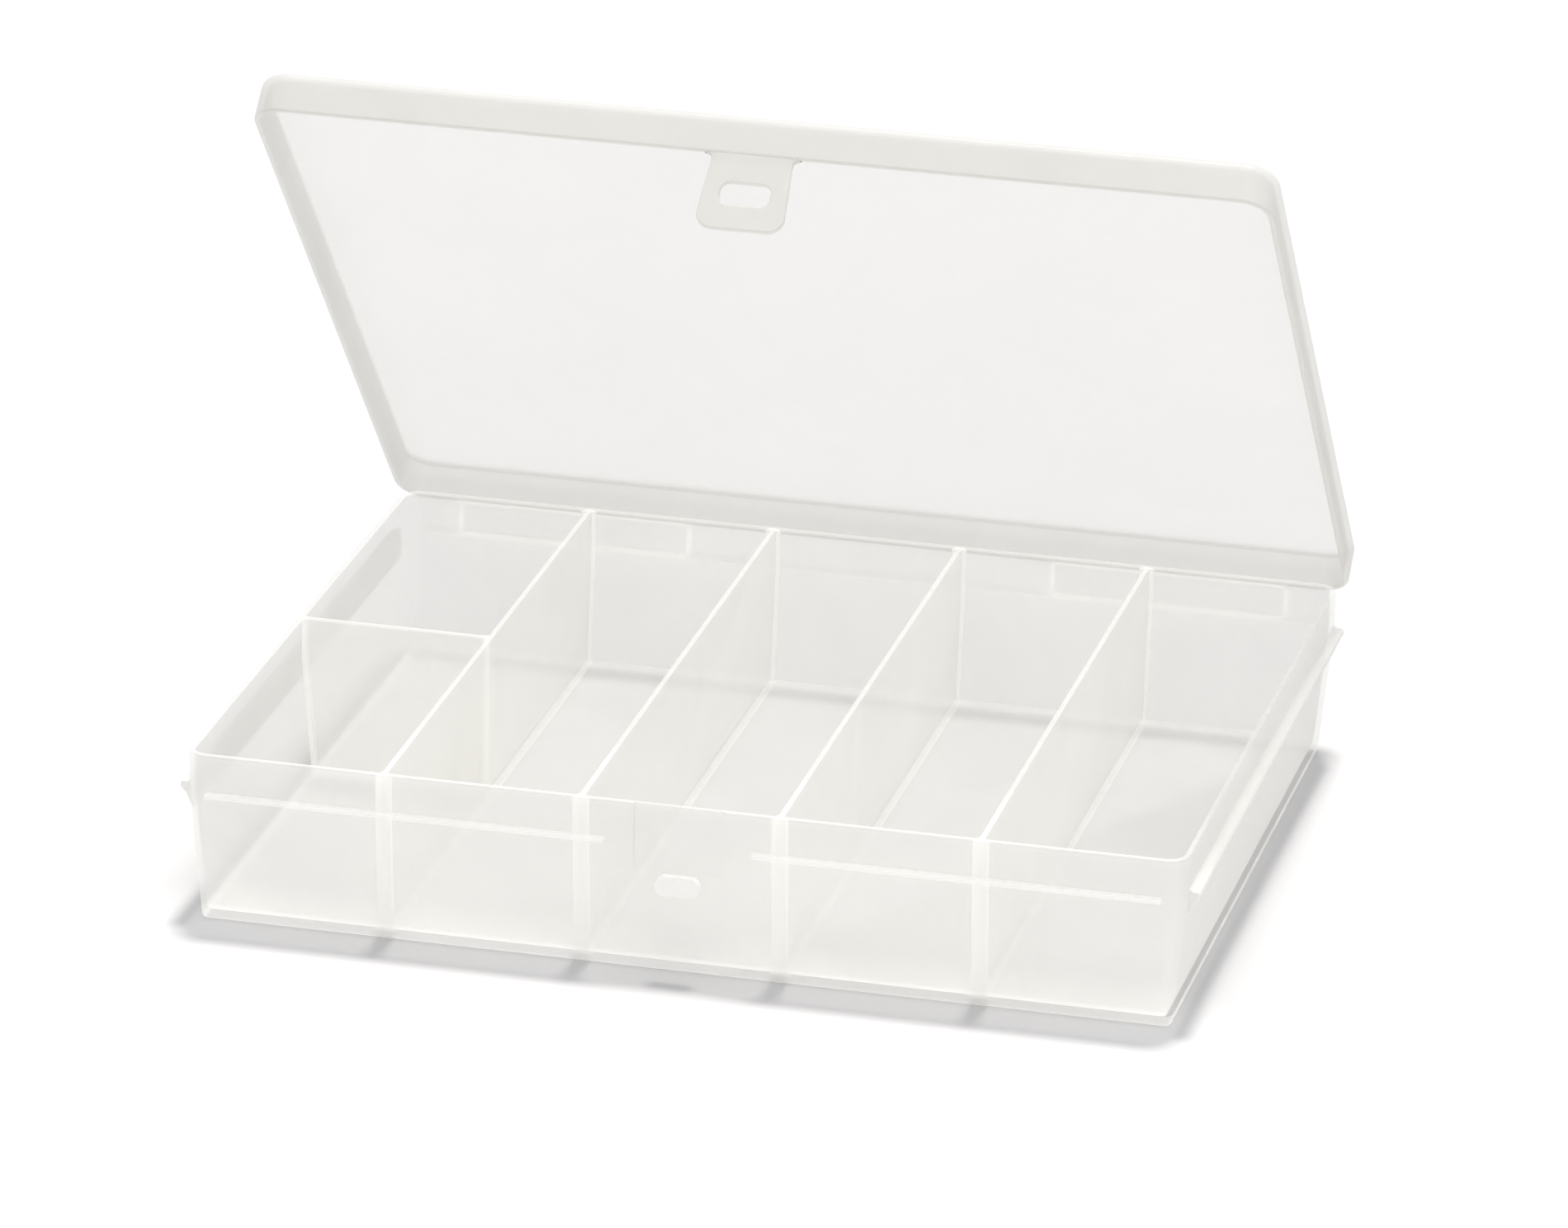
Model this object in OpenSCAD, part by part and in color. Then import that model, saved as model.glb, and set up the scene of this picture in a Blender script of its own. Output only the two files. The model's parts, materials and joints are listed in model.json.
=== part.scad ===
// Flat divided tackle box: a drafted tray with moulded dividers, a hinged
// tray-shaped lid on two flexible straps, and a spring tab that clips over a stud.
// Millimetres. X runs along the front, Y towards the hinge, Z up; the origin is the
// centre of the underside. The lid is drawn part open, at lid_angle.

/* [Tray] */
// Outside length of the tray at its rim
tray_w = 210; // [180:1:240]
// Outside depth of the tray at its rim
tray_d = 165.4; // [140:0.2:190]
// Height of the tray
tray_h = 37.5; // [34:0.5:45]
// Thickness of the side walls
wall_t = 1.2; // [1:0.1:1.6]
// Thickness of the floor
floor_t = 1.5; // [1.2:0.1:2]
// How far each wall leans in from the ledge down to the underside
draft = 2.6; // [1.5:0.1:3]
// Radius of the upright corners at the rim
corner_r = 4.6; // [4.4:0.2:10]
// Height and width of the bevel round the underside
foot_bevel = 1.6; // [1:0.1:2]

/* [Dividers] */
// Number of columns along the length
columns = 5; // [3:1:7]
// Thickness of each divider
divider_t = 1.3; // [1:0.1:1.6]

/* [Ledge and ribs] */
// Depth of the straight band between the rim and the ledge that the lid rests on
band_h = 8.2; // [7:0.1:10]
// Thickness of the ledge
ledge_t = 0.8; // [0.6:0.1:1.2]
// How far the ledge stands out from the wall
ledge_out = 1.9; // [1.6:0.1:2.2]
// Thickness of the rear ledge
rear_ledge_t = 2.3; // [1.5:0.1:2.6]
// How far the rear ledge stands out, inside the skirt's swing
rear_ledge_out = 1.4; // [1:0.1:1.5]
// Width of the gap in the front ledge where the latch tab passes
ledge_gap = 31; // [26:1:40]
// Height of the finger rib under each end of the lid
rib_h = 6; // [4:0.5:7]

/* [Lid] */
// Thickness of the lid's panel and skirt
lid_t = 1.2; // [1:0.1:1.4]
// Clearance between the skirt and the front of the rim
front_gap = 0.4; // [0.3:0.1:0.6]
// Clearance between the skirt and each end of the rim
end_gap = 0.95; // [0.5:0.05:1.2]
// Clearance between the skirt and the back of the rim
back_gap = 2.2; // [1.8:0.1:2.8]
// Gap under the lid's panel, and over the ledge, when the lid is shut
seat_gap = 0.1; // [0.05:0.05:0.3]
// Angle that the lid stands open
lid_angle = 47.4; // [0:0.1:120]

/* [Hinge] */
// Distance of the hinge axis behind the rim
axis_back = 9; // [8:0.1:11]
// Height of the hinge axis above the ledge
axis_up = 3.2; // [3:0.1:6]
// Length of each hinge strap along the lid
strap_w = 53; // [40:1:60]
// Distance between the middles of the two straps
strap_pitch = 133.8; // [120:0.2:145]
// Thickness of the straps
strap_t = 0.6; // [0.5:0.1:0.8]

/* [Latch] */
// Width of the latch tab at its root
tab_w = 17; // [14:0.5:20]
// Width of the latch tab near its free end
tab_end_w = 18.4; // [15:0.2:22]
// Length of the latch tab below the lid's skirt
tab_l = 17.5; // [15:0.5:18]
// Width of the slot in the latch tab
slot_w = 10.6; // [9:0.1:12]
// Height of the slot in the latch tab
slot_h = 5.2; // [4.6:0.1:6]
// Distance from the skirt's edge to the middle of the slot
slot_drop = 9.2; // [8:0.1:10]
// Width of the stud on the tray
stud_w = 9.4; // [8:0.1:10]
// Height of the stud on the tray
stud_h = 4.2; // [3.6:0.1:4.6]
// Width of the shallow channel in the front wall that the tab lies in
channel_w = 19; // [18:0.5:24]
// Depth of that channel
channel_d = 0.5; // [0.3:0.1:0.6]
// How far the stud stands out from the rim's outer face
stud_out = 1.2; // [0.8:0.1:1.4]

/* [Hidden] */

$fn = 48;
half_w = tray_w / 2;
half_d = tray_d / 2;
// Top face of the ledge, where the lid's skirt comes to rest
ledge_z = tray_h - band_h;
// Height where the drafted lower walls meet the straight band
band_z = ledge_z - ledge_t;
// Lean of the walls for each millimetre of height
slope = draft / band_z;
column_w = (tray_w - wall_t) / columns;

// The lid as it lies when shut
skirt_z = ledge_z + seat_gap;
panel_z = tray_h + seat_gap;
lid_top = panel_z + lid_t;
lid_w = tray_w + 2 * (end_gap + lid_t);
lid_front = -half_d - front_gap - lid_t;
lid_back = half_d + back_gap + lid_t;
lid_d = lid_back - lid_front;
lid_mid = (lid_back + lid_front) / 2;
lid_r = corner_r + end_gap + lid_t;
// Width of the bevel between the lid's panel and its skirt
lid_edge = 1.0;

// Side rib: its bevels, and the blunt face between them
nose_bevel = 0.5;
nose_face = 0.7;

// Hinge axis, parallel to X
axis_y = half_d + axis_back;
axis_z = ledge_z + axis_up;

// Latch tab, measured on the shut lid
tab_bottom = skirt_z - tab_l;
tab_corner = 3.5;
slot_z = skirt_z - slot_drop;

plastic = [0.90, 0.90, 0.87];
plastic_edge = [0.95, 0.95, 0.93];

// An outline point on the trapezoid that leans in by `lean` from top to bottom
function trapezoid(half_top, lean, z0, z1) =
    [[-half_top + lean, z0], [half_top - lean, z0], [half_top, z1], [-half_top, z1]];

// Rounded block w by d at its top, whose walls lean in by `lean` towards the bottom.
// The corner centres stay upright, so each corner is a true cone.
module leaning_block(w, d, r, lean, z0, z1) {
    translate([0, d / 2 - r, 0]) rotate([90, 0, 0])
        linear_extrude(d - 2 * r) polygon(trapezoid(w / 2, lean, z0, z1));
    translate([-w / 2 + r, 0, 0]) rotate([90, 0, 90])
        linear_extrude(w - 2 * r) polygon(trapezoid(d / 2, lean, z0, z1));
    for (x = [-1, 1], y = [-1, 1])
        translate([x * (w / 2 - r), y * (d / 2 - r), z0])
            cylinder(h = z1 - z0, r1 = r - lean, r2 = r);
}

// Upright block with rounded corners
module rounded_block(w, d, r, z0, z1) {
    translate([0, 0, z0]) linear_extrude(z1 - z0) rounded_outline(w, d, r);
}

module rounded_outline(w, d, r) {
    square([w - 2 * r, d], center = true);
    square([w, d - 2 * r], center = true);
    for (x = [-1, 1], y = [-1, 1])
        translate([x * (w / 2 - r), y * (d / 2 - r)]) circle(r);
}

// Everything inside the tray's walls, above the floor
module cavity(top) {
    lean = slope * (band_z - floor_t);
    w = tray_w - 2 * wall_t;
    d = tray_d - 2 * wall_t;
    r = corner_r - wall_t;
    leaning_block(w, d, r, lean, floor_t, band_z);
    rounded_block(w, d, r, band_z, top);
}

// Floor and walls. The tab's channel fades out where the leaning wall reaches its depth.
module tray_shell() {
    foot_lean = slope * (band_z - foot_bevel);
    color(plastic) difference() {
        union() {
            rounded_block(tray_w, tray_d, corner_r, band_z, tray_h);
            leaning_block(tray_w, tray_d, corner_r, foot_lean, foot_bevel, band_z);
            leaning_block(tray_w - 2 * foot_lean, tray_d - 2 * foot_lean,
                corner_r - foot_lean, foot_bevel, 0, foot_bevel);
        }
        cavity(tray_h + 1);
        translate([-channel_w / 2, -half_d - 1, 0]) cube([channel_w, 1 + channel_d, tray_h + 1]);
    }
}

// Upright wall from front to back, number i of the row that splits the length
module divider(i) {
    x = -half_w + wall_t / 2 + i * column_w;
    color(plastic_edge) intersection() {
        translate([x - divider_t / 2, -half_d, 0]) cube([divider_t, tray_d, tray_h]);
        cavity(tray_h);
    }
}

// Short wall that halves the left-hand column
module cross_divider() {
    x1 = -half_w + wall_t / 2 + column_w - divider_t / 2;
    color(plastic_edge) intersection() {
        translate([-half_w, -divider_t / 2, 0]) cube([x1 + half_w, divider_t, tray_h]);
        cavity(tray_h);
    }
}

// Straight ledge on the outside of the wall, from x0 to x1 along the front
module ledge(x0, x1, out, thick) {
    color(plastic_edge) translate([x0, -half_d - out, ledge_z - thick])
        cube([x1 - x0, out, thick]);
}

module front_ledge_left() {
    ledge(-half_w + corner_r, -ledge_gap / 2, ledge_out, ledge_t);
}

module front_ledge_right() {
    ledge(ledge_gap / 2, half_w - corner_r, ledge_out, ledge_t);
}

module rear_ledge() {
    rotate([0, 0, 180])
        ledge(-half_w + corner_r, half_w - corner_r, rear_ledge_out, rear_ledge_t);
}

// Nose-shaped rib along one end of the tray: it carries the skirt and gives the
// fingers something to push against. Its underside slopes back to the leaning wall.
module side_rib() {
    nose = end_gap + lid_t;
    fillet = end_gap - seat_gap;
    face_top = ledge_z - nose_bevel;
    face_bottom = face_top - nose_face;
    bottom = ledge_z - rib_h;
    wall_back = slope * (band_z - bottom);
    length = tray_d - 2 * corner_r;
    color(plastic_edge) translate([half_w, length / 2, 0]) rotate([90, 0, 0])
        linear_extrude(length) polygon([
            [0, ledge_z + fillet],
            [fillet, ledge_z],
            [nose - nose_bevel, ledge_z],
            [nose, face_top],
            [nose, face_bottom],
            [nose - nose_bevel, face_bottom - nose_bevel],
            [-wall_back, bottom],
            [0, band_z]
        ]);
}

module side_rib_right() {
    side_rib();
}

module side_rib_left() {
    mirror([1, 0, 0]) side_rib();
}

// Oblong stud, round at both ends, that the latch tab's slot clips over
module latch_stud() {
    r = stud_h / 2;
    color(plastic_edge) difference() {
        translate([0, -half_d - stud_out, slot_z]) rotate([-90, 0, 0])
            linear_extrude(stud_out + draft) {
                square([stud_w - stud_h, stud_h], center = true);
                for (x = [-1, 1]) translate([x * (stud_w - stud_h) / 2, 0]) circle(r);
            }
        leaning_block(tray_w, tray_d, corner_r, draft, 0, band_z);
    }
}

// Turns what is drawn on the shut lid to where the open lid stands
module opened() {
    translate([0, axis_y, axis_z]) rotate([-lid_angle, 0, 0])
        translate([0, -axis_y, -axis_z]) children();
}

// Point (y, z) of the shut lid, carried to the open lid
function opened_point(y, z) = let(dy = y - axis_y, dz = z - axis_z)
    [axis_y + dy * cos(lid_angle) + dz * sin(lid_angle),
     axis_z - dy * sin(lid_angle) + dz * cos(lid_angle)];

module lid_shell() {
    color(plastic) opened() translate([0, lid_mid, 0]) difference() {
        union() {
            rounded_block(lid_w, lid_d, lid_r, skirt_z, lid_top - lid_edge);
            translate([0, 0, lid_top]) mirror([0, 0, 1])
                leaning_block(lid_w, lid_d, lid_r, lid_edge, 0, lid_edge);
        }
        rounded_block(lid_w - 2 * lid_t, lid_d - 2 * lid_t, lid_r - lid_t,
            skirt_z - 1, panel_z);
    }
}

// Points along a circle's arc, from angle a0 to a1
function arc(x, y, r, a0, a1, steps = 8) =
    [for (i = [0:steps]) let(a = a0 + (a1 - a0) * i / steps) [x + r * cos(a), y + r * sin(a)]];

// Tongue that hangs from the front skirt, a little wider towards its free end
module latch_tab() {
    corner_x = tab_end_w / 2 - tab_corner;
    corner_z = tab_bottom + tab_corner;
    outline = concat(
        [[-tab_w / 2, skirt_z], [tab_w / 2, skirt_z]],
        arc(corner_x, corner_z, tab_corner, 0, -90),
        arc(-corner_x, corner_z, tab_corner, -90, -180));
    color(plastic_edge) opened() translate([0, lid_front + lid_t, 0]) rotate([90, 0, 0])
        linear_extrude(lid_t) difference() {
            polygon(outline);
            translate([-slot_w / 2, slot_z - slot_h / 2]) square([slot_w, slot_h]);
        }
}

// Thin flexible strap from the rear ledge to just under the edge of the lid's rear skirt
module hinge_strap(side) {
    foot = [half_d + rear_ledge_out + strap_t / 2, ledge_z - rear_ledge_t];
    tip = opened_point(lid_back - lid_t / 2, skirt_z - strap_t / 2 - seat_gap);
    run = tip - foot;
    reach = norm(run);
    across = [-run[1], run[0]] / reach * strap_t / 2;
    color(plastic) translate([side * strap_pitch / 2 - strap_w / 2, 0, 0])
        rotate([90, 0, 90]) linear_extrude(strap_w)
            polygon([foot - across, foot + across, tip + across, tip - across]);
}

module hinge_strap_left() {
    hinge_strap(-1);
}

module hinge_strap_right() {
    hinge_strap(1);
}

tray_shell();
divider(1);  // divider_1
divider(2);  // divider_2
divider(3);  // divider_3
divider(4);  // divider_4
cross_divider();
front_ledge_left();
front_ledge_right();
rear_ledge();
side_rib_left();
side_rib_right();
latch_stud();
hinge_strap_left();
hinge_strap_right();
lid_shell();
latch_tab();
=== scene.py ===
"""Looks of a milky translucent tackle box: studio, plastics, and the finer moulded meshes.

Everything is in metres in the part's own frame: X along the front, Y towards the hinge, Z up.
The tray and the lid are lofted shells with rounded edges. The dividers thicken at their feet
and ends, as mouldings do, and the hinge straps are drawn bellied between the tray and the
lid as it stands open. The latch stud keeps its CAD solid; every other CAD node is stood for
by a mesh that is made here.
"""
import json
import math

import bmesh
import bpy
from mathutils import Matrix, Vector


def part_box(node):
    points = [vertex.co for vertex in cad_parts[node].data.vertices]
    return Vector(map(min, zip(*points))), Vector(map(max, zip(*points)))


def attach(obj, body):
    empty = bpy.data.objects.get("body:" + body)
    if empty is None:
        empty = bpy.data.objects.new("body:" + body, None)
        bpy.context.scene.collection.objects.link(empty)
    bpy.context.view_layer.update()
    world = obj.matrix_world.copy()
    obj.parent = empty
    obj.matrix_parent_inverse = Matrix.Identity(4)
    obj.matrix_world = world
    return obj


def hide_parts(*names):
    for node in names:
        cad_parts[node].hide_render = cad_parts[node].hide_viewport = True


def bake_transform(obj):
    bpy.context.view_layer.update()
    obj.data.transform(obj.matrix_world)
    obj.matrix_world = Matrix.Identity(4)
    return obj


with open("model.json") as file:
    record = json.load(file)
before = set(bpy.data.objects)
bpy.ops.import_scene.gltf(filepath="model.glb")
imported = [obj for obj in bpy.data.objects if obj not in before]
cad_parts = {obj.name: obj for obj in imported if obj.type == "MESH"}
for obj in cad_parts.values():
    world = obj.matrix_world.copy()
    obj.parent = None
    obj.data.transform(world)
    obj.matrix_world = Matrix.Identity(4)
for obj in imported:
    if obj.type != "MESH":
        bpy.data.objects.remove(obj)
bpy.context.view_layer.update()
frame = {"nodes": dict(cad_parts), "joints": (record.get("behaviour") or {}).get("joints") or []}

nodes = frame["nodes"]
joints = {j["name"]: j for j in frame["joints"]}
MM = 0.001


# ---------------------------------------------------------------- sizes, from the frame

def middle_x(name):
    """The middle of a CAD node along the front."""
    low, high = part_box(name)
    return (low.x + high.x) / 2


tray_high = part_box("tray_shell")[1]
HALF_W = tray_high.x
HALF_D = tray_high.y
TRAY_H = tray_high.z
LEDGE_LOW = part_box("front_ledge_left")[0].z
DIVIDER_X = [middle_x(f"divider_{number}") for number in range(1, 5)]
HINGE = Vector(joints["lid_hinge"]["pos_m"])
OPEN_ANGLE = -math.radians(joints["lid_hinge"]["range_deg"][0])

WALL = 1.2 * MM
FLOOR = 1.5 * MM
DIVIDER_HALF_T = 0.62 * MM
LEDGE_T = 0.8 * MM
LEDGE_TOP = LEDGE_LOW + LEDGE_T
BURIED = 0.1 * MM                    # how far the backs of ledges and ribs sit inside the wall
DRAFT = 2.6 * MM                     # how far in each wall stands at its foot
SLOPE = DRAFT / LEDGE_LOW
CORNER = 4.6 * MM
SHARPEST_CORNER = 0.6 * MM
FOOT_RADIUS = 1.0 * MM
MID_Z = 12 * MM                      # an extra row of points part way up the walls
RIM_ROW_DROP = 2 * MM                # the last straight row of points, below the rounded rim

LID_T = 1.2 * MM
SEAT_GAP = 0.1 * MM
SKIRT_Z = LEDGE_TOP + SEAT_GAP
LID_UNDER = TRAY_H + SEAT_GAP
LID_TOP = LID_UNDER + LID_T
FRONT_GAP = 0.4 * MM
BACK_GAP = 2.2 * MM
LID_FRONT = -HALF_D - FRONT_GAP - LID_T
LID_BACK = HALF_D + BACK_GAP + LID_T
LID_HALF_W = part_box("lid_shell")[1].x
LID_CORNER = CORNER + LID_HALF_W - HALF_W

TAB_W = 17.0 * MM
TAB_END_W = 18.4 * MM
TAB_L = 17.5 * MM
TAB_CORNER = 3.5 * MM
TAB_BEVEL = 0.25 * MM
SLOT_SIZE = (10.6 * MM, 5.2 * MM)
SLOT_CORNER = 1.9 * MM
SLOT_DROP = 9.2 * MM

# The shallow channel in the front wall that the latch tab lies in when it is shut. It runs
# out between the two heights of CHANNEL_FOOT, where the wall's own draft is as deep.
CHANNEL_W = 19.0 * MM
CHANNEL_D = 0.5 * MM
CHANNEL_SIDE = 0.15 * MM
CHANNEL_FOOT = (23 * MM, 23.2 * MM)

# The lid as moulded is drawn shut, then turned about the hinge to where it stands open
OPENED = (Matrix.Translation(HINGE) @ Matrix.Rotation(-OPEN_ANGLE, 4, "X")
          @ Matrix.Translation(-HINGE))


# ---------------------------------------------------------------- camera and studio

def make_camera():
    """A long lens, high on the front right, tipped a little so the box leans as it was seen."""
    azimuth, elevation, roll = (math.radians(a) for a in (13.397, 20.756, 1.176))
    distance = 2.029
    aim = Vector((-2.57, 16.43, 43.07)) * MM
    back = Vector((math.sin(azimuth) * math.cos(elevation),
                   -math.cos(azimuth) * math.cos(elevation), math.sin(elevation)))
    data = bpy.data.cameras.new("camera")
    data.sensor_width = 36.0
    data.lens = 219.54
    data.clip_start = 0.1
    data.clip_end = 20.0
    camera = bpy.data.objects.new("camera", data)
    turn = (-back).to_track_quat("-Z", "Y").to_matrix().to_4x4()
    camera.matrix_world = (Matrix.Translation(aim + back * distance) @ turn
                           @ Matrix.Rotation(roll, 4, "Z"))
    bpy.context.scene.collection.objects.link(camera)
    bpy.context.scene.camera = camera


def fill_light(name, place, size, power):
    """A broad white panel that lifts the side it faces and throws no shadow."""
    middle_of_box = Vector((0, 0, 0.05))
    data = bpy.data.lights.new(name, "AREA")
    data.shape = "RECTANGLE"
    data.size, data.size_y = size
    data.energy = power
    data.use_shadow = False
    light = bpy.data.objects.new(name, data)
    light.location = place
    light.rotation_euler = (middle_of_box - Vector(place)).to_track_quat("-Z", "Y").to_euler()
    bpy.context.scene.collection.objects.link(light)


def key_light():
    """A soft, slightly warm sun from high behind, so the shadow falls towards the front."""
    shines_towards = Vector((-0.01, -0.36, -1.40))
    sun = bpy.data.lights.new("key", "SUN")
    sun.energy = 3.8
    sun.angle = math.radians(9)
    sun.color = (1, 0.985, 0.96)
    light = bpy.data.objects.new("key", sun)
    light.rotation_euler = shines_towards.to_track_quat("-Z", "Y").to_euler()
    bpy.context.scene.collection.objects.link(light)


def studio_floor():
    """A wide matt floor, which the lights bring up to white."""
    half_size = 8.0
    form = bmesh.new()
    bmesh.ops.create_grid(form, x_segments=1, y_segments=1, size=half_size)
    mesh = bpy.data.meshes.new("floor")
    form.to_mesh(mesh)
    form.free()
    floor = bpy.data.objects.new("floor", mesh)
    bpy.context.scene.collection.objects.link(floor)

    material = bpy.data.materials.new("floor_white")
    material.use_nodes = True
    shader = material.node_tree.nodes["Principled BSDF"]
    shader.inputs["Base Color"].default_value = (0.535, 0.533, 0.539, 1)
    shader.inputs["Roughness"].default_value = 0.8
    shader.inputs["Specular IOR Level"].default_value = 0.1
    mesh.materials.append(material)


def make_studio():
    """A floor in white surroundings, a key high behind, and two fills without shadows."""
    studio_floor()
    world = bpy.data.worlds.new("studio")
    bpy.context.scene.world = world
    world.use_nodes = True
    sky = world.node_tree.nodes["Background"]
    sky.inputs["Color"].default_value = (0.99, 0.99, 1, 1)
    sky.inputs["Strength"].default_value = 0.76
    bpy.context.scene.view_settings.view_transform = "Standard"
    key_light()
    fill_light("front_fill", (0.2, -1.4, 1.15), (1.2, 0.8), 2.2)
    fill_light("right_fill", (1.3, -0.4, 0.6), (0.9, 0.7), 3)


def allow_long_light_paths():
    """Light goes through many thin walls here, and too few bounces would leave them dark."""
    cycles = bpy.context.scene.cycles
    cycles.max_bounces = 24
    cycles.diffuse_bounces = 10
    cycles.transmission_bounces = 12
    cycles.transparent_max_bounces = 40


# ---------------------------------------------------------------- materials

def plastic(name, colour, cover, glow=0.45, haze=0.05, gloss=(0.28, 0.42), painted_glow=0.0):
    """Milky polypropylene. cover is how much of what lies behind it hides, and glow is the
    share of scattered light that comes through from the far side. The last argument is a
    painted glow: the surface gives off light of its own, which stands in for light carried
    along inside the moulding and let out at its thin edges. Flow marks cloud the colour by
    haze, gloss is the range of roughness, and fine grain and slight sink waves break up the
    satin surface."""
    material = bpy.data.materials.new(name)
    material.use_nodes = True
    tree = material.node_tree
    satin = tree.nodes["Principled BSDF"]
    satin.inputs["IOR"].default_value = 1.49
    # The emission is a painted glow: the surface gives off light of its own.
    satin.inputs["Emission Color"].default_value = (1, 1, 0.97, 1)
    satin.inputs["Emission Strength"].default_value = painted_glow
    place = tree.nodes.new("ShaderNodeTexCoord")

    def noise(scale, detail, distortion=0.0):
        node = tree.nodes.new("ShaderNodeTexNoise")
        node.inputs["Scale"].default_value = scale
        node.inputs["Detail"].default_value = detail
        node.inputs["Distortion"].default_value = distortion
        tree.links.new(place.outputs["Object"], node.inputs["Vector"])
        return node.outputs["Fac"]

    def ramp(source, low, high):
        node = tree.nodes.new("ShaderNodeValToRGB")
        first, last = node.color_ramp.elements
        first.position, last.position = 0.3, 0.7
        first.color, last.color = (*low, 1), (*high, 1)
        tree.links.new(source, node.inputs["Fac"])
        return node.outputs["Color"]

    def bump(height, strength, distance, below=None):
        node = tree.nodes.new("ShaderNodeBump")
        node.inputs["Strength"].default_value = strength
        node.inputs["Distance"].default_value = distance
        tree.links.new(height, node.inputs["Height"])
        if below:
            tree.links.new(below, node.inputs["Normal"])
        return node.outputs["Normal"]

    def mix(share, first, second):
        node = tree.nodes.new("ShaderNodeMixShader")
        node.inputs["Fac"].default_value = share
        tree.links.new(first, node.inputs[1])
        tree.links.new(second, node.inputs[2])
        return node.outputs["Shader"]

    clouded = ramp(noise(scale=26, detail=4, distortion=0.9),
                   [c * (1 - haze) for c in colour], colour)
    rough = ramp(noise(scale=70, detail=5), (gloss[0],) * 3, (gloss[1],) * 3)
    grain = bump(noise(scale=1400, detail=2), strength=0.2, distance=0.03 * MM)
    sink_waves = bump(noise(scale=30, detail=2), strength=0.3, distance=0.3 * MM, below=grain)
    tree.links.new(clouded, satin.inputs["Base Color"])
    tree.links.new(rough, satin.inputs["Roughness"])
    tree.links.new(sink_waves, satin.inputs["Normal"])
    through = tree.nodes.new("ShaderNodeBsdfTranslucent")
    tree.links.new(clouded, through.inputs["Color"])
    clear = tree.nodes.new("ShaderNodeBsdfTransparent")
    milk = mix(glow, satin.outputs["BSDF"], through.outputs["BSDF"])
    shown = mix(cover, clear.outputs["BSDF"], milk)
    tree.links.new(shown, tree.nodes["Material Output"].inputs["Surface"])
    return material


# Edges and thin features come out of the mould smoother and more even than the broad walls
SMOOTH = {"haze": 0.02, "gloss": (0.2, 0.34)}

TRAY = plastic("tray_plastic", (0.965, 0.96, 0.937), 0.38)
# The inside faces of the walls are the same plastic painted darker: painted shade.
INSIDE_SHADED = plastic("tray_inner_shaded_plastic", (0.71, 0.705, 0.69), 0.46)
FLOOR_PLASTIC = plastic("floor_plastic", (0.99, 0.985, 0.965), 0.80, glow=0.35)
WEB = plastic("divider_plastic", (0.975, 0.97, 0.94), 0.40, glow=0.5)
# The edge material carries a painted glow, which lights thin edges and feet up as bright lines.
EDGE_GLOW = plastic("edge_glow_plastic", (0.99, 0.99, 0.975), 0.58, painted_glow=0.13, **SMOOTH)
RIM = plastic("rim_plastic", (0.98, 0.98, 0.965), 0.34, glow=0.5, **SMOOTH)
# The bead material carries a strong painted glow, which shows strap beads and ledge corners as
# light lines.
BEAD_GLOW = plastic("bead_glow_plastic", (0.99, 0.99, 0.975), 0.70, glow=0.4, painted_glow=0.55, **SMOOTH)
STUD = plastic("stud_plastic", (0.95, 0.95, 0.94), 0.72, glow=0.35, **SMOOTH)
# The ribs are the same plastic painted darker: painted shade that brings out their shape.
RIB_SHADED = plastic("rib_shaded_plastic", (0.83, 0.825, 0.805), 0.70)
JOINED = plastic("joined_face_plastic", (0.98, 0.98, 0.965), 0.03, glow=0.5, **SMOOTH)
# The lid's panel and skirt are the tray's plastic painted darker: painted shade that tones the
# open lid down.
PANEL_SHADED = plastic("lid_panel_shaded_plastic", (0.65, 0.643, 0.632), 0.38, haze=0.03)
SKIRT_SHADED = plastic("lid_skirt_shaded_plastic", (0.69, 0.68, 0.655), 0.55)
STRAP = plastic("strap_plastic", (0.98, 0.98, 0.96), 0.12, **SMOOTH)


# ---------------------------------------------------------------- mesh helpers

def make_piece(name, form, materials):
    """A finished, smooth-shaded object from a bmesh, with the materials given to it.
    Edges that the bmesh marks as sharp stay sharp."""
    bmesh.ops.recalc_face_normals(form, faces=form.faces)
    mesh = bpy.data.meshes.new(name)
    form.to_mesh(mesh)
    form.free()
    piece = bpy.data.objects.new(name, mesh)
    bpy.context.scene.collection.objects.link(piece)
    for material in materials:
        mesh.materials.append(material)
    mesh.polygons.foreach_set("use_smooth", [True] * len(mesh.polygons))
    even = piece.modifiers.new("even_normals", "WEIGHTED_NORMAL")
    even.keep_sharp = True
    even.weight = 80
    return piece


def rounded_ring(half_w, half_d, radius, z, middle_y=0.0, breaks=(), steps=10):
    """Points round a rounded rectangle, from the front left, with extra ones at front breaks."""
    points = [Vector((x, middle_y - half_d, z)) for x in breaks]
    for quarter, (sx, sy) in enumerate(((1, -1), (1, 1), (-1, 1), (-1, -1))):
        centre = Vector((sx * (half_w - radius), middle_y + sy * (half_d - radius), z))
        for step in range(steps + 1):
            angle = math.radians(-90 + 90 * quarter + 90 * step / steps)
            points.append(centre + radius * Vector((math.cos(angle), math.sin(angle), 0)))
    return points


def loft(rings, band_materials):
    """Joins equal rings of points in order and closes both ends with flat, sharp-edged faces.
    band_materials gives the material number of each band between two rings."""
    form = bmesh.new()
    rows = [[form.verts.new(p) for p in ring] for ring in rings]
    count = len(rows[0])
    for row, following, material in zip(rows, rows[1:], band_materials):
        for i in range(count):
            j = (i + 1) % count
            face = form.faces.new((row[i], row[j], following[j], following[i]))
            face.material_index = material
    for row, material in ((rows[0], band_materials[0]), (rows[-1], band_materials[-1])):
        cap = form.faces.new(row)
        cap.material_index = material
        for edge in cap.edges:
            edge.smooth = False
    return form


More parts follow.
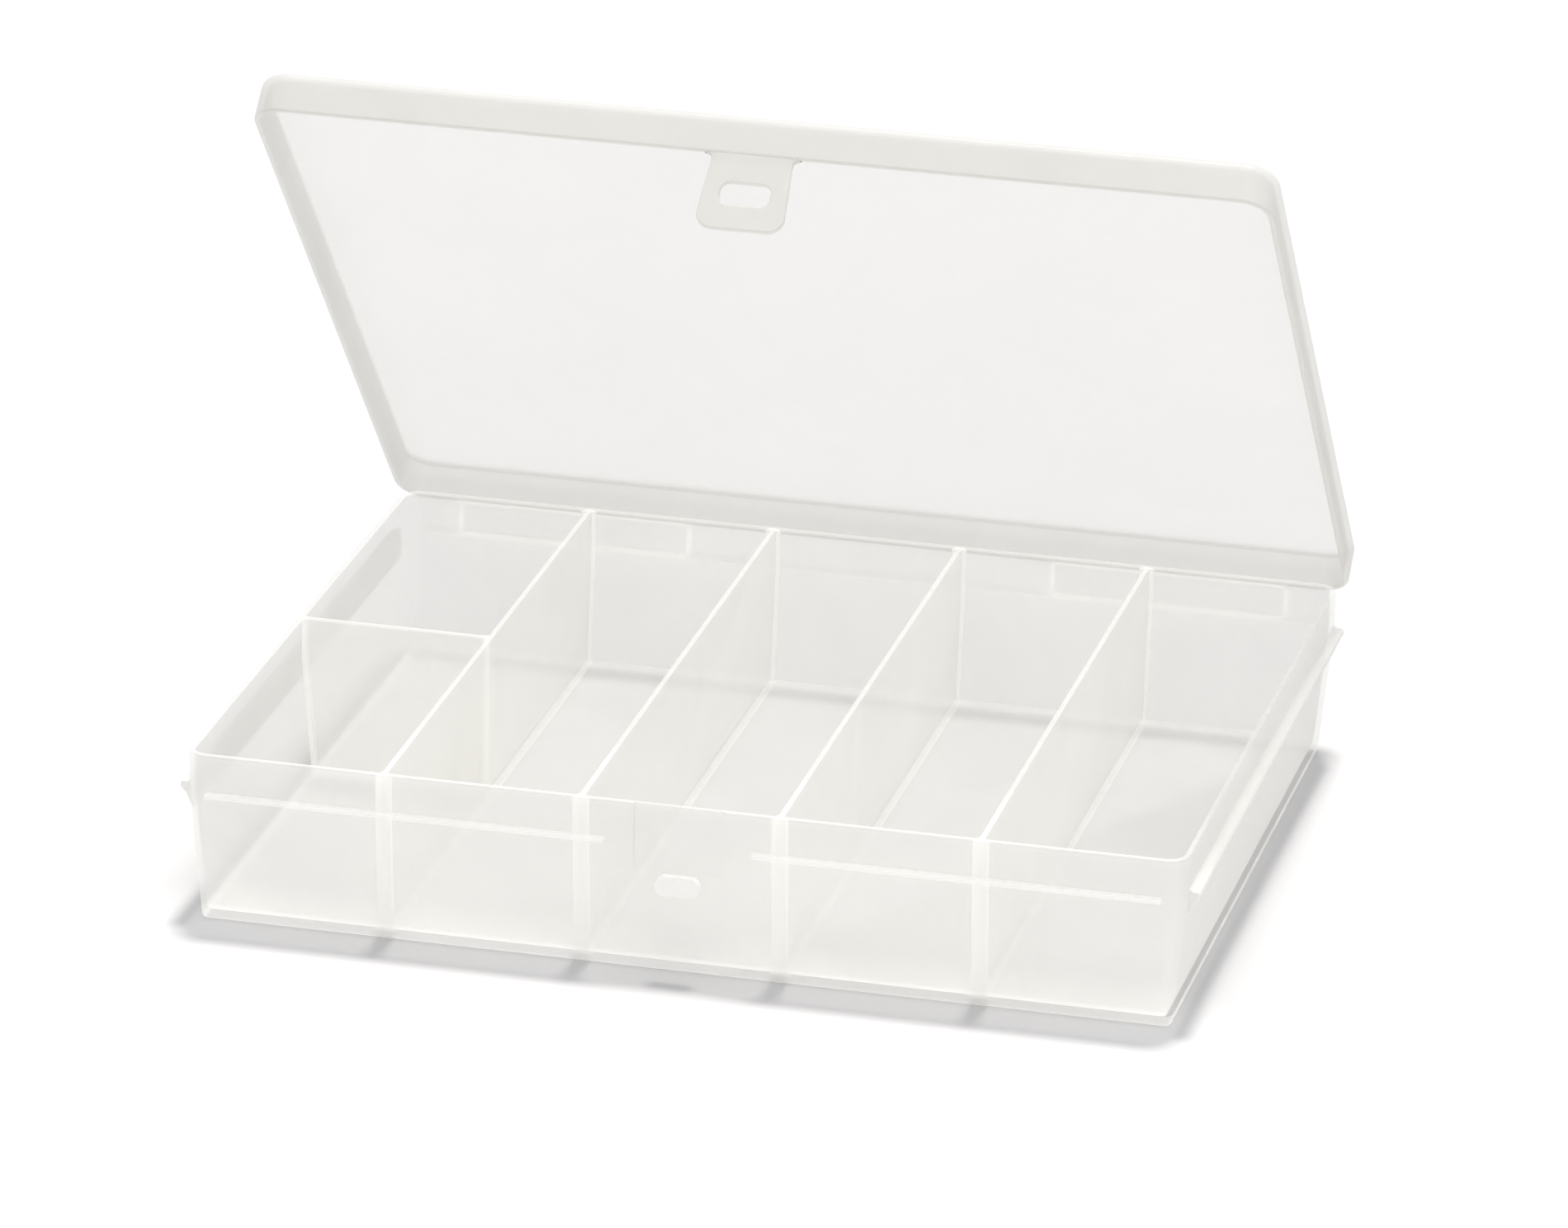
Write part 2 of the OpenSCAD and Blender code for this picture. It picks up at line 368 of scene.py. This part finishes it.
def arc(centre, radius, start, end, steps):
    """Points along an arc in a plane, by angle in degrees."""
    turn = [math.radians(start + (end - start) * i / steps) for i in range(steps + 1)]
    return [(centre[0] + radius * math.cos(a), centre[1] + radius * math.sin(a)) for a in turn]


# ---------------------------------------------------------------- tray

def outer_inset(z):
    """How far the tray's outer wall stands in from the rim's outer face at height z."""
    return SLOPE * max(0.0, LEDGE_LOW - z)


def tray_shell():
    """Outer skin up from the underside, over the rounded rim, and down inside to the floor.
    The lowest stretch of the wall, which has the floor's edge behind it, is drawn denser and
    carries a painted glow, so that it shows as a bright line at the foot."""
    foot_band_top = 2.4 * MM
    rim_radius = WALL / 2
    inner_radius = 1.4 * MM
    rim_row = TRAY_H - RIM_ROW_DROP
    foot = outer_inset(FOOT_RADIUS)
    inner_foot = outer_inset(FLOOR + inner_radius) + WALL

    foot_arc = arc((foot + FOOT_RADIUS, FOOT_RADIUS), FOOT_RADIUS, -90, -180, 6)
    wall_rows = (foot_band_top, MID_Z, *CHANNEL_FOOT, LEDGE_LOW, rim_row)
    outer = foot_arc + [(outer_inset(z), z) for z in wall_rows]
    top = arc((rim_radius, TRAY_H - rim_radius), rim_radius, 180, 0, 8)
    inner = [(WALL, rim_row), (WALL, LEDGE_LOW), (WALL + outer_inset(MID_Z), MID_Z)]
    floor_arc = arc((inner_foot + inner_radius, FLOOR + inner_radius), inner_radius, 180, 270, 5)
    profile = outer + top + inner + floor_arc

    # The foot band takes the edge material: denser than the wall, and lit up by its painted glow.
    skin, rim, floor, inside, edge = range(5)
    bands = [skin] + [edge] * 6 + [skin] * 6 + [rim] * 8 + [inside] * 4 + [floor] * 5
    half = CHANNEL_W / 2
    breaks = (-half, -half + CHANNEL_SIDE, half - CHANNEL_SIDE, half)
    rings = []
    for number, (inset, z) in enumerate(profile):
        radius = max(CORNER - inset, SHARPEST_CORNER)
        ring = rounded_ring(HALF_W - inset, HALF_D - inset, radius, z, breaks=breaks)
        outside = number < len(outer) + len(top) // 2
        if outside:
            for point in ring[1:3]:
                point.y = max(point.y, -HALF_D + CHANNEL_D)
        rings.append(ring)
    form = loft(rings, bands)
    # The inner faces of the walls take the darker inside material, which is painted shade.
    materials = [TRAY, RIM, FLOOR_PLASTIC, INSIDE_SHADED, EDGE_GLOW]
    piece = make_piece("tray", form, materials)
    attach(piece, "tray")
    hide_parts("tray_shell")


def web(name, low, high, place):
    """A moulded-in upright wall. low(z) and high(z) are its two ends along its run, and
    place(run, across, z) puts a point in the frame. It thickens at its foot and its ends."""
    half = DIVIDER_HALF_T
    sunk = 0.05 * MM
    foot = FLOOR - sunk
    top = TRAY_H - sunk
    side = [(1.5 * MM, foot), (0.95 * MM, foot + 0.3 * MM), (0.72 * MM, foot + 0.8 * MM)]
    side += [(half, z) for z in (foot + 1.6 * MM, MID_Z, LEDGE_LOW, top - 0.5 * MM)]
    side += arc((0, top - half), half, 0, 90, 4)[1:]
    section = side + [(-x, z) for x, z in reversed(side[:-1])]

    # Each end, from just inside the wall: distance along the run, and how much thicker it is
    flares = [(-0.1 * MM, 1.1 * MM), (0.25 * MM, 0.65 * MM), (0.7 * MM, 0.25 * MM), (1.5 * MM, 0)]
    rows = []
    for end, inward, stations in ((low, 1, flares), (high, -1, flares[::-1])):
        for distance, flare in stations:
            row = []
            for across, z in section:
                spread = math.copysign(flare, across) * min(1.0, abs(across) / half)
                row.append(place(end(z) + inward * distance, across + spread, z))
            rows.append(row)

    # Faces are numbered like the points they follow: up one side, over, and down the other
    sides, edges, joined = range(3)
    form = bmesh.new()
    verts = [[form.verts.new(p) for p in row] for row in rows]
    last = len(section) - 1
    # The ends, the crown and the feet take the edge material, whose painted glow shows them as
    # bright lines.
    crown = range(len(side) - 4, len(side) + 3)
    feet = (*range(3), *range(last - 3, last))
    for number, (row, following) in enumerate(zip(verts, verts[1:])):
        at_end = number < 2 or number > len(verts) - 4
        for i in range(last):
            face = form.faces.new((row[i], row[i + 1], following[i + 1], following[i]))
            face.material_index = edges if at_end or i in crown or i in feet else sides
        underside = form.faces.new((row[-1], row[0], following[0], following[-1]))
        underside.material_index = joined
    caps = [form.faces.new(verts[0]), form.faces.new(verts[-1])]
    for cap in caps:
        cap.material_index = edges
    for edge in form.edges:
        hidden = {face in caps or face.material_index == joined for face in edge.link_faces}
        edge.smooth = len(hidden) == 1
    piece = make_piece(name + "_wall", form, [WEB, EDGE_GLOW, JOINED])
    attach(piece, "tray")
    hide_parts(name)


def dividers():
    """Four walls from front to back, and a short one across the left-hand column."""
    def inner_y(z):
        return HALF_D - WALL - outer_inset(z)

    def inner_x(z):
        return HALF_W - WALL - outer_inset(z)

    for number, x in enumerate(DIVIDER_X, 1):
        web(f"divider_{number}", lambda z: -inner_y(z), inner_y,
            lambda run, across, z, x=x: Vector((x + across, run, z)))
    web("cross_divider", lambda z: -inner_x(z), lambda z: DIVIDER_X[0] - DIVIDER_HALF_T,
        lambda run, across, z: Vector((run, across, z)))


# ---------------------------------------------------------------- lid

def lid_shell():
    """Panel, rounded edge, skirt and the inside, drawn shut and then turned open."""
    edge_radius = 1.7 * MM
    inner_radius = 0.8 * MM
    lip = LID_T / 2
    middle = (LID_FRONT + LID_BACK) / 2
    half_d = (LID_BACK - LID_FRONT) / 2
    bulge = arc((edge_radius, LID_TOP - edge_radius), edge_radius, 90, 180, 6)
    rim = arc((lip, SKIRT_Z + lip), lip, 180, 360, 6)
    fillet = arc((LID_T + inner_radius, LID_UNDER - inner_radius), inner_radius, 180, 90, 4)
    panel, skirt = range(2)
    bands = [panel] * 2 + [skirt] * 14 + [panel] * 2
    rings = []
    for inset, z in bulge + rim + fillet:
        ring = rounded_ring(LID_HALF_W - inset, half_d - inset, LID_CORNER - inset, z, middle)
        rings.append([OPENED @ p for p in ring])
    form = loft(rings, bands)
    # Panel and skirt take the darker lid materials, which are painted shade.
    piece = make_piece("lid", form, [PANEL_SHADED, SKIRT_SHADED])
    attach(piece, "lid")
    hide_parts("lid_shell")


def flat_moulding(name, outline, hole, thick, bevel, place):
    """A flat plate with softened edges, cut from an outline with a hole in it, as a bmesh."""
    weld = 0.005 * MM
    curve = bpy.data.curves.new(name, "CURVE")
    curve.dimensions = "2D"
    curve.fill_mode = "BOTH"
    curve.extrude = thick / 2 - bevel
    curve.bevel_depth = bevel
    curve.bevel_resolution = 2
    curve.offset = -bevel
    for points in (outline, hole):
        spline = curve.splines.new("POLY")
        spline.points.add(len(points) - 1)
        for point, (x, y) in zip(spline.points, points):
            point.co = (x, y, 0, 1)
        spline.use_cyclic_u = True
    drawing = bpy.data.objects.new(name, curve)
    bpy.context.scene.collection.objects.link(drawing)
    depsgraph = bpy.context.evaluated_depsgraph_get()
    mesh = bpy.data.meshes.new_from_object(drawing.evaluated_get(depsgraph))
    bpy.data.objects.remove(drawing)
    form = bmesh.new()
    form.from_mesh(mesh)
    bmesh.ops.remove_doubles(form, verts=form.verts, dist=weld)
    bmesh.ops.transform(form, matrix=place, verts=form.verts)
    return form


def latch_tab():
    """Slotted tongue under the lid's front skirt, flared a little towards its round corners."""
    blend = 1.6 * MM
    top = -0.1 * MM
    low = -TAB_L + TAB_CORNER
    right = [(TAB_W / 2 + blend, top)]
    right += arc((TAB_W / 2 + blend, top - blend), blend, 90, 180, 5)[1:]
    right += arc((TAB_END_W / 2 - TAB_CORNER, low), TAB_CORNER, 0, -90, 8)
    outline = right + [(-x, y) for x, y in reversed(right)]
    slot_w, slot_h = SLOT_SIZE
    slot_ring = rounded_ring(slot_w / 2, slot_h / 2, SLOT_CORNER, 0, steps=6)
    slot = [(p.x, p.y - SLOT_DROP) for p in slot_ring]
    stand = (OPENED @ Matrix.Translation((0, LID_FRONT + LID_T / 2, SKIRT_Z))
             @ Matrix.Rotation(math.radians(90), 4, "X"))
    form = flat_moulding("latch", outline, slot, LID_T, TAB_BEVEL, stand)
    # The tab takes the darker skirt material, which is painted shade.
    piece = make_piece("latch", form, [SKIRT_SHADED])
    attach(piece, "latch")
    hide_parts("latch_tab")


# ---------------------------------------------------------------- straps, ledges and stud

def hinge_strap(name):
    """A thin web that bellies back from the ledge to the skirt, with a bead down each side."""
    low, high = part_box(name)
    foot_in = 0.3 * MM
    tip_up = 0.2 * MM
    foot = Vector((0, low.y + foot_in, low.z + foot_in))
    tip = OPENED @ Vector((0, LID_BACK - LID_T / 2, SKIRT_Z + tip_up))
    belly = 0.9 * MM
    steps = 10
    web_half = 0.22 * MM
    bead_half = 0.55 * MM
    bead_w = 0.8 * MM
    bead_foot = 1.1 * MM
    run = tip - foot
    out = Vector((0, run.z, -run.y)).normalized()
    stations = [(low.x, bead_half), (low.x + bead_w, bead_half), (low.x + bead_foot, web_half),
                (high.x - bead_foot, web_half), (high.x - bead_w, bead_half),
                (high.x, bead_half)]
    form = bmesh.new()
    rows = []
    for step in range(steps + 1):
        t = step / steps
        centre = foot + run * t + out * belly * math.sin(math.pi * t)
        front = [form.verts.new(centre + Vector((x, 0, 0)) - out * h) for x, h in stations]
        back = [form.verts.new(centre + Vector((x, 0, 0)) + out * h) for x, h in stations]
        rows.append(front + back[::-1])

    # The beads take the bead material, whose painted glow shows them as light lines down the
    # strap's sides.
    thin, thick = range(2)
    count = len(rows[0])
    between_beads = (2, 8)
    for number, (row, following) in enumerate(zip(rows, rows[1:])):
        away_from_ends = 0 < number < steps - 1
        for i in range(count):
            j = (i + 1) % count
            face = form.faces.new((row[i], row[j], following[j], following[i]))
            face.material_index = thin if i in between_beads and away_from_ends else thick
    for end_row in (rows[0], rows[-1]):
        form.faces.new(end_row).material_index = thick
    piece = make_piece(name.replace("hinge_", ""), form, [STRAP, BEAD_GLOW])
    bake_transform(piece)
    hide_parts(name)


def strip(name, section, kinds, materials, run, length):
    """A moulded ledge or rib. section holds (out, z) points round it, out measured from the
    wall. kinds gives the material number of the face after each point: 0 and 1 are in sight,
    and 2 is a back, inside the wall. run(out, along, z) puts a point in the frame for along
    from 0 to length. Its ends are drawn in a little."""
    in_wall = 2
    rounding = [(0, 0.86), (0.1 * MM, 0.96), (0.25 * MM, 1)]
    stations = rounding + [(length - along, shrink) for along, shrink in reversed(rounding)]
    middle = sum(z for _, z in section) / len(section)
    form = bmesh.new()
    rows = []
    for along, shrink in stations:
        rows.append([form.verts.new(run(out * shrink, along, middle + (z - middle) * shrink))
                     for out, z in section])
    for row, following in zip(rows, rows[1:]):
        for i, kind in enumerate(kinds):
            j = (i + 1) % len(section)
            form.faces.new((row[i], row[j], following[j], following[i])).material_index = kind
    form.faces.new(rows[0])
    form.faces.new(rows[-1])
    for edge in form.edges:
        sides_hidden = {face.material_index == in_wall for face in edge.link_faces}
        edge.smooth = len(sides_hidden) == 1
    piece = make_piece(name + "_moulded", form, materials)
    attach(piece, "tray")
    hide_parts(name)


def ledge(name):
    """One straight step on the band, with its two outer corners rounded. The rear one, seen
    through the wall, has corners with a painted glow, so that they show as light lines."""
    low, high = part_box(name)
    side = -1 if low.y < 0 else 1
    reach = max(abs(low.y), abs(high.y)) - HALF_D
    radius = 0.25 * MM
    section = [(-BURIED, low.z)]
    section += arc((reach - radius, low.z + radius), radius, -90, 0, 3)
    section += arc((reach - radius, high.z - radius), radius, 0, 90, 3)
    section += [(-BURIED, high.z)]
    plain, bright, in_wall = range(3)
    corner = [plain if side < 0 else bright] * 3
    kinds = [plain] + corner + [plain] + corner + [plain, in_wall]
    strip(name, section, kinds, [RIM, BEAD_GLOW, JOINED],
          lambda out, along, z: Vector((low.x + along, side * (HALF_D + out), z)), high.x - low.x)


def side_rib(name, side):
    """The finger rib at one end of the box, with a round nose and a hollowed underside."""
    low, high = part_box(name)
    nose = LID_HALF_W - HALF_W
    nose_radius = 0.6 * MM
    lower_round_drop = 1.1 * MM
    foot = outer_inset(low.z) + BURIED
    fillet = [(-BURIED, LEDGE_TOP + 0.8 * MM), (0.3 * MM, LEDGE_TOP + 0.25 * MM),
              (0.9 * MM, LEDGE_TOP)]
    nose_round = arc((nose - nose_radius, LEDGE_TOP - nose_radius), nose_radius, 90, 0, 4)
    nose_round += arc((nose - nose_radius, LEDGE_TOP - lower_round_drop), nose_radius, 0, -60, 3)
    hollow = [(0.75 * MM, low.z + 3.2 * MM), (0.2 * MM, low.z + 1.6 * MM), (-foot, low.z)]
    section = fillet + nose_round + hollow + [(-0.3 * MM, LEDGE_LOW)]
    in_sight, in_wall = 0, 2
    kinds = [in_sight] * (len(section) - 2) + [in_wall] * 2
    # The rib takes the darker rib material, which is painted shade.
    strip(name, section, kinds, [RIB_SHADED, RIB_SHADED, JOINED],
          lambda out, along, z: Vector((side * (HALF_W + out), low.y + along, z)), high.y - low.y)


def latch_stud():
    """The oblong stud keeps its solid, with edges as soft as the mould's."""
    stud = nodes["latch_stud"]
    stud.data.materials.clear()
    stud.data.materials.append(STUD)
    soften = stud.modifiers.new("soft_edges", "BEVEL")
    soften.width = 0.3 * MM
    soften.segments = 3
    soften.limit_method = "ANGLE"
    soften.angle_limit = math.radians(28)


allow_long_light_paths()
make_camera()
make_studio()
tray_shell()
dividers()
lid_shell()
latch_tab()
for strap_name in ("hinge_strap_left", "hinge_strap_right"):
    hinge_strap(strap_name)
for ledge_name in ("front_ledge_left", "front_ledge_right", "rear_ledge"):
    ledge(ledge_name)
side_rib("side_rib_left", -1)
side_rib("side_rib_right", 1)
latch_stud()
